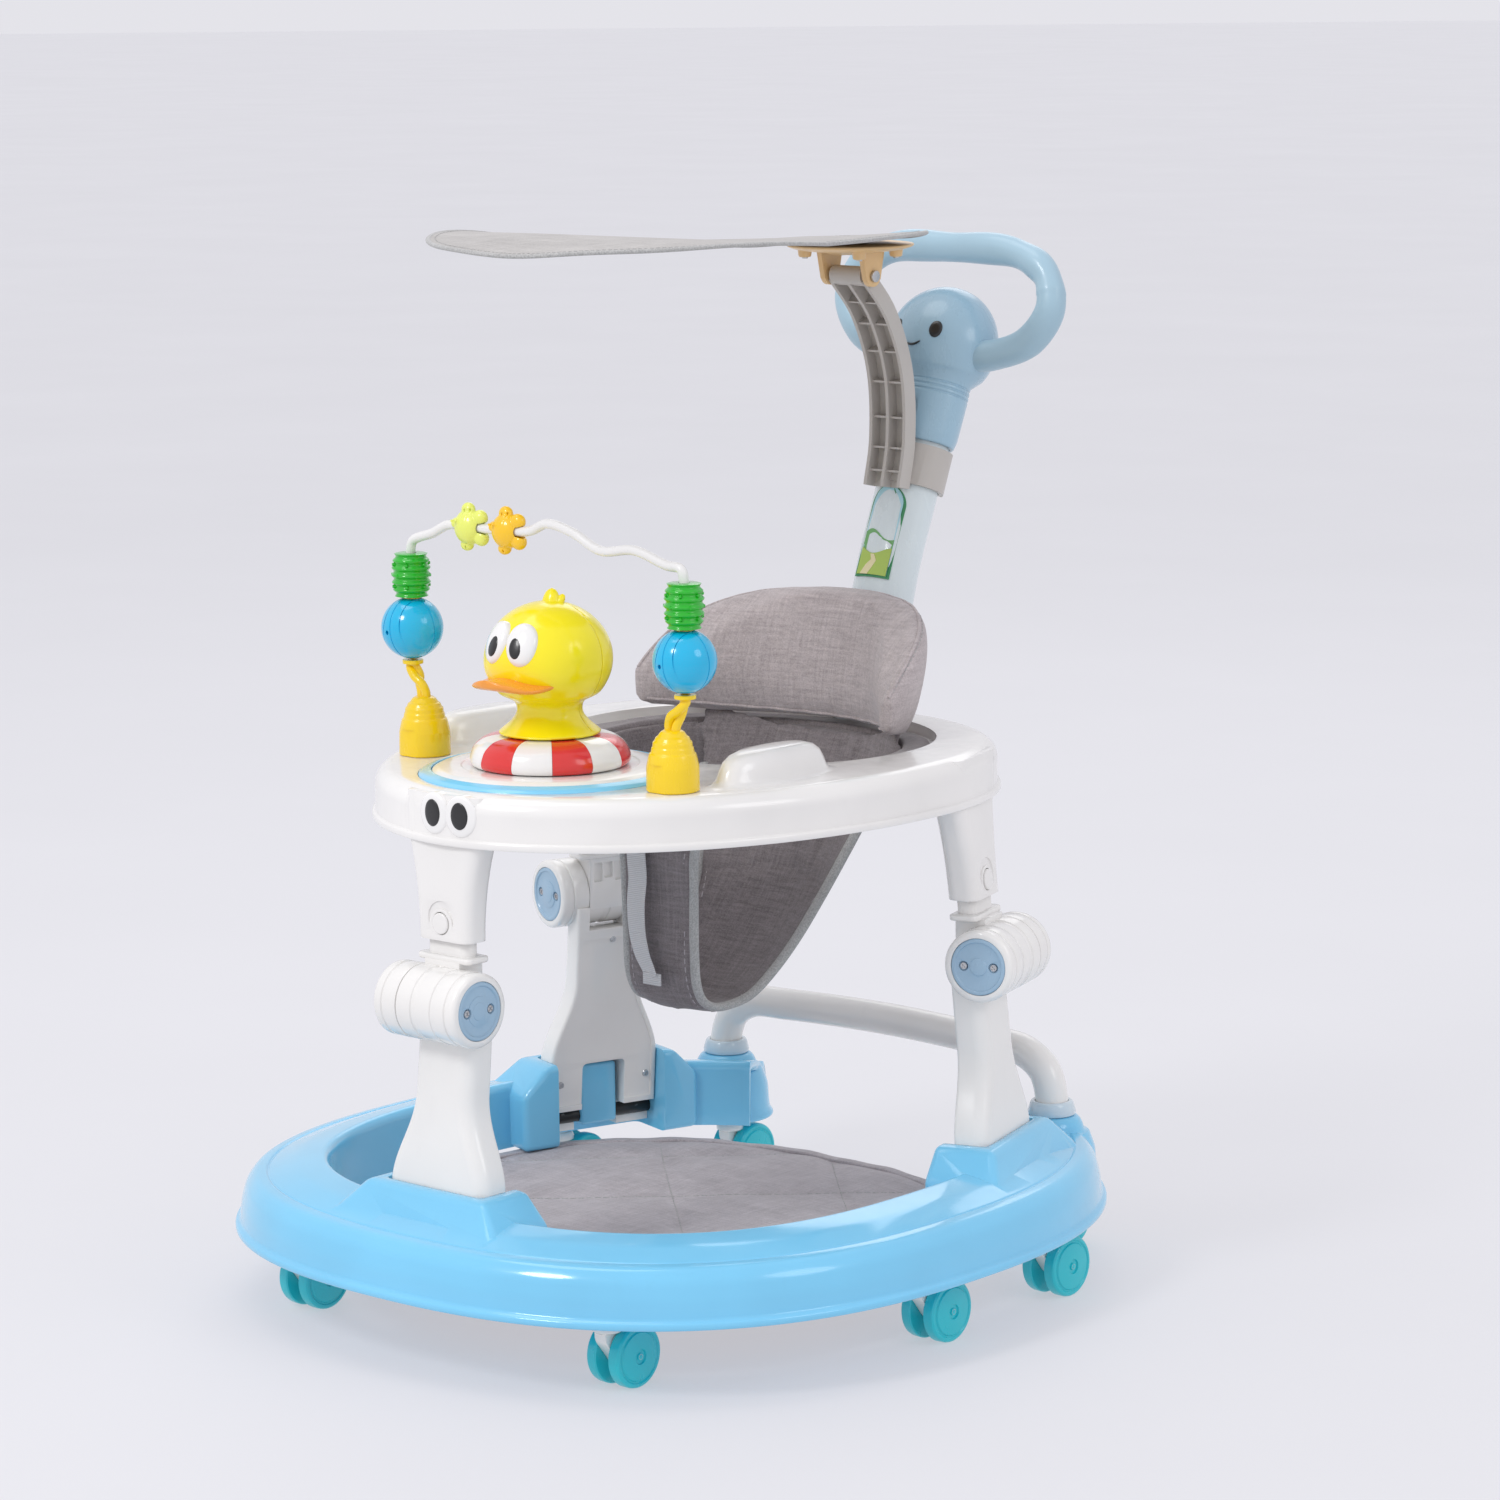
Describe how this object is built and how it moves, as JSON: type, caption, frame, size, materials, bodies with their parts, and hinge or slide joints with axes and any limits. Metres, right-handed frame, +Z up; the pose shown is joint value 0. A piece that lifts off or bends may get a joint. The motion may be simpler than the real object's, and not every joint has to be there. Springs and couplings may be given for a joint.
{
  "type": "baby walker",
  "caption": "Round baby walker on twin-wheel casters with hinged legs, play tray with duck and bead toys, sling seat, push handle and sun canopy.",
  "frame": {"origin": "on the floor, under the middle of the walker's bounding box", "axes": "+Z up, the child faces -Y, and +X is the child's left"},
  "size_m": [0.6656, 0.7508, 0.873],
  "materials": {
    "leg_white": "gloss",
    "muted_blue": "satin",
    "sky_blue": "gloss",
    "black_steel": "satin",
    "teal": "satin",
    "mat_fabric": "woven, quilted",
    "red": "gloss",
    "orange": "gloss",
    "yellow": "gloss",
    "wire_white": "gloss",
    "ball_blue": "gloss",
    "green": "gloss",
    "pale_yellow": "gloss",
    "grey_fabric": "woven chambray",
    "pale_blue": "satin",
    "warm_grey": "satin",
    "sand": "satin",
    "steel": "brushed",
    "canopy_fabric": "woven"
  },
  "bodies": {
    "base": {"lower_leg_front": "leg_white", "knee_pin_front": "muted_blue", "upper_leg_front": "leg_white", "lower_leg_left": "leg_white", "knee_pin_left": "muted_blue", "upper_leg_left": "leg_white", "lower_leg_right": "leg_white", "knee_pin_right": "muted_blue", "upper_leg_right": "leg_white", "base_ring": "sky_blue", "foot_rod_left": "black_steel", "foot_rod_right": "black_steel", "rear_bar": "leg_white", "floor_mat": "mat_fabric"},
    "tray": {"leg_sleeve_front": "leg_white", "leg_sleeve_left": "leg_white", "leg_sleeve_right": "leg_white", "tray": "leg_white", "insert_band": "sky_blue", "insert_plate": "leg_white", "swim_ring": "red", "toy_wire": "wire_white", "toy_post_left": "yellow", "toy_post_right": "yellow", "back_cushion": "grey_fabric", "seat_sling": "grey_fabric", "handle_tube": "pale_blue", "canopy_arm": "warm_grey"},
    "fork_front_left": {"caster_fork_front_left": "leg_white"},
    "wheel_front_left": {"caster_wheel_front_left": "teal"},
    "fork_front_right": {"caster_fork_front_right": "leg_white"},
    "wheel_front_right": {"caster_wheel_front_right": "teal"},
    "fork_fore_left": {"caster_fork_fore_left": "leg_white"},
    "wheel_fore_left": {"caster_wheel_fore_left": "teal"},
    "fork_fore_right": {"caster_fork_fore_right": "leg_white"},
    "wheel_fore_right": {"caster_wheel_fore_right": "teal"},
    "fork_aft_left": {"caster_fork_aft_left": "leg_white"},
    "wheel_aft_left": {"caster_wheel_aft_left": "teal"},
    "fork_aft_right": {"caster_fork_aft_right": "leg_white"},
    "wheel_aft_right": {"caster_wheel_aft_right": "teal"},
    "fork_rear_left": {"caster_fork_rear_left": "leg_white"},
    "wheel_rear_left": {"caster_wheel_rear_left": "teal"},
    "fork_rear_right": {"caster_fork_rear_right": "leg_white"},
    "wheel_rear_right": {"caster_wheel_rear_right": "teal"},
    "button_front": {"height_button_front": "leg_white"},
    "button_left": {"height_button_left": "leg_white"},
    "button_right": {"height_button_right": "leg_white"},
    "handle_head": {"handle_head": "muted_blue"},
    "release_button": {"release_button": "warm_grey"},
    "canopy": {"canopy": "canopy_fabric", "canopy_bracket": "sand", "canopy_pin": "steel"},
    "duck": {"duck": "yellow", "duck_bill": "orange"},
    "ball_left": {"toy_ball_left": "ball_blue"},
    "bead_left": {"toy_bead_left": "green"},
    "ball_right": {"toy_ball_right": "ball_blue"},
    "bead_right": {"toy_bead_right": "green"},
    "figure_right": {"wire_figure_right": "pale_yellow"},
    "figure_left": {"wire_figure_left": "yellow"}
  },
  "joints": [
    {"name": "tray_height", "type": "slide", "parent": "base", "child": "tray", "axis": [0, 0, 1], "range_m": [-0.01, 0.02]},
    {"name": "swivel_front_left", "type": "hinge", "parent": "base", "child": "fork_front_left", "pos_m": [0.173, -0.29543, 0.059], "axis": [0, 0, 1], "continuous": true},
    {"name": "spin_front_left", "type": "hinge", "parent": "fork_front_left", "child": "wheel_front_left", "pos_m": [0.173, -0.27543, 0.0255], "axis": [1, 0, 0], "continuous": true},
    {"name": "swivel_front_right", "type": "hinge", "parent": "base", "child": "fork_front_right", "pos_m": [-0.173, -0.29543, 0.059], "axis": [0, 0, 1], "continuous": true},
    {"name": "spin_front_right", "type": "hinge", "parent": "fork_front_right", "child": "wheel_front_right", "pos_m": [-0.173, -0.27543, 0.0255], "axis": [1, 0, 0], "continuous": true},
    {"name": "swivel_fore_left", "type": "hinge", "parent": "base", "child": "fork_fore_left", "pos_m": [0.281, -0.04443, 0.059], "axis": [0, 0, 1], "continuous": true},
    {"name": "spin_fore_left", "type": "hinge", "parent": "fork_fore_left", "child": "wheel_fore_left", "pos_m": [0.281, -0.02443, 0.0255], "axis": [1, 0, 0], "continuous": true},
    {"name": "swivel_fore_right", "type": "hinge", "parent": "base", "child": "fork_fore_right", "pos_m": [-0.281, -0.04443, 0.059], "axis": [0, 0, 1], "continuous": true},
    {"name": "spin_fore_right", "type": "hinge", "parent": "fork_fore_right", "child": "wheel_fore_right", "pos_m": [-0.281, -0.02443, 0.0255], "axis": [1, 0, 0], "continuous": true},
    {"name": "swivel_aft_left", "type": "hinge", "parent": "base", "child": "fork_aft_left", "pos_m": [0.273, 0.12157, 0.059], "axis": [0, 0, 1], "continuous": true},
    {"name": "spin_aft_left", "type": "hinge", "parent": "fork_aft_left", "child": "wheel_aft_left", "pos_m": [0.273, 0.14157, 0.0255], "axis": [1, 0, 0], "continuous": true},
    {"name": "swivel_aft_right", "type": "hinge", "parent": "base", "child": "fork_aft_right", "pos_m": [-0.273, 0.12157, 0.059], "axis": [0, 0, 1], "continuous": true},
    {"name": "spin_aft_right", "type": "hinge", "parent": "fork_aft_right", "child": "wheel_aft_right", "pos_m": [-0.273, 0.14157, 0.0255], "axis": [1, 0, 0], "continuous": true},
    {"name": "swivel_rear_left", "type": "hinge", "parent": "base", "child": "fork_rear_left", "pos_m": [0.18, 0.24457, 0.059], "axis": [0, 0, 1], "continuous": true},
    {"name": "spin_rear_left", "type": "hinge", "parent": "fork_rear_left", "child": "wheel_rear_left", "pos_m": [0.18, 0.26457, 0.0255], "axis": [1, 0, 0], "continuous": true},
    {"name": "swivel_rear_right", "type": "hinge", "parent": "base", "child": "fork_rear_right", "pos_m": [-0.18, 0.24457, 0.059], "axis": [0, 0, 1], "continuous": true},
    {"name": "spin_rear_right", "type": "hinge", "parent": "fork_rear_right", "child": "wheel_rear_right", "pos_m": [-0.18, 0.26457, 0.0255], "axis": [1, 0, 0], "continuous": true},
    {"name": "press_height_front", "type": "slide", "parent": "tray", "child": "button_front", "axis": [0, 1, 0], "range_m": [0, 0.0015], "stiffness_N_per_m": 600, "springref_m": -0.002},
    {"name": "press_height_left", "type": "slide", "parent": "tray", "child": "button_left", "axis": [-0.9563, -0.2924, 0], "range_m": [0, 0.0015], "stiffness_N_per_m": 600, "springref_m": -0.002},
    {"name": "press_height_right", "type": "slide", "parent": "tray", "child": "button_right", "axis": [0.9563, -0.2924, 0], "range_m": [0, 0.0015], "stiffness_N_per_m": 600, "springref_m": -0.002},
    {"name": "handle_height", "type": "slide", "parent": "tray", "child": "handle_head", "axis": [0, 0.3746, 0.9272], "range_m": [0, 0.03]},
    {"name": "press_release", "type": "slide", "parent": "handle_head", "child": "release_button", "axis": [0, 0.9272, -0.3746], "range_m": [0, 0.0012], "stiffness_N_per_m": 600, "springref_m": -0.002},
    {"name": "canopy_tilt", "type": "hinge", "parent": "tray", "child": "canopy", "pos_m": [0, 0.20857, 0.824], "axis": [1, 0, 0], "range_deg": [-20, 15]},
    {"name": "duck_turn", "type": "hinge", "parent": "tray", "child": "duck", "pos_m": [0, -0.16643, 0.482], "axis": [0, 0, 1], "range_deg": [-45, 45]},
    {"name": "ball_spin_left", "type": "hinge", "parent": "tray", "child": "ball_left", "pos_m": [0.15, -0.17043, 0.5535], "axis": [0, 0, 1], "continuous": true},
    {"name": "bead_spin_left", "type": "hinge", "parent": "tray", "child": "bead_left", "pos_m": [0.15, -0.17043, 0.597], "axis": [0, 0, 1], "continuous": true},
    {"name": "ball_spin_right", "type": "hinge", "parent": "tray", "child": "ball_right", "pos_m": [-0.15, -0.17043, 0.5535], "axis": [0, 0, 1], "continuous": true},
    {"name": "bead_spin_right", "type": "hinge", "parent": "tray", "child": "bead_right", "pos_m": [-0.15, -0.17043, 0.597], "axis": [0, 0, 1], "continuous": true},
    {"name": "figure_spin_right", "type": "hinge", "parent": "tray", "child": "figure_right", "pos_m": [-0.082, -0.17043, 0.641], "axis": [1, 0, 0], "continuous": true},
    {"name": "figure_spin_left", "type": "hinge", "parent": "tray", "child": "figure_left", "pos_m": [-0.04, -0.17043, 0.641], "axis": [1, 0, 0], "continuous": true}
  ]
}
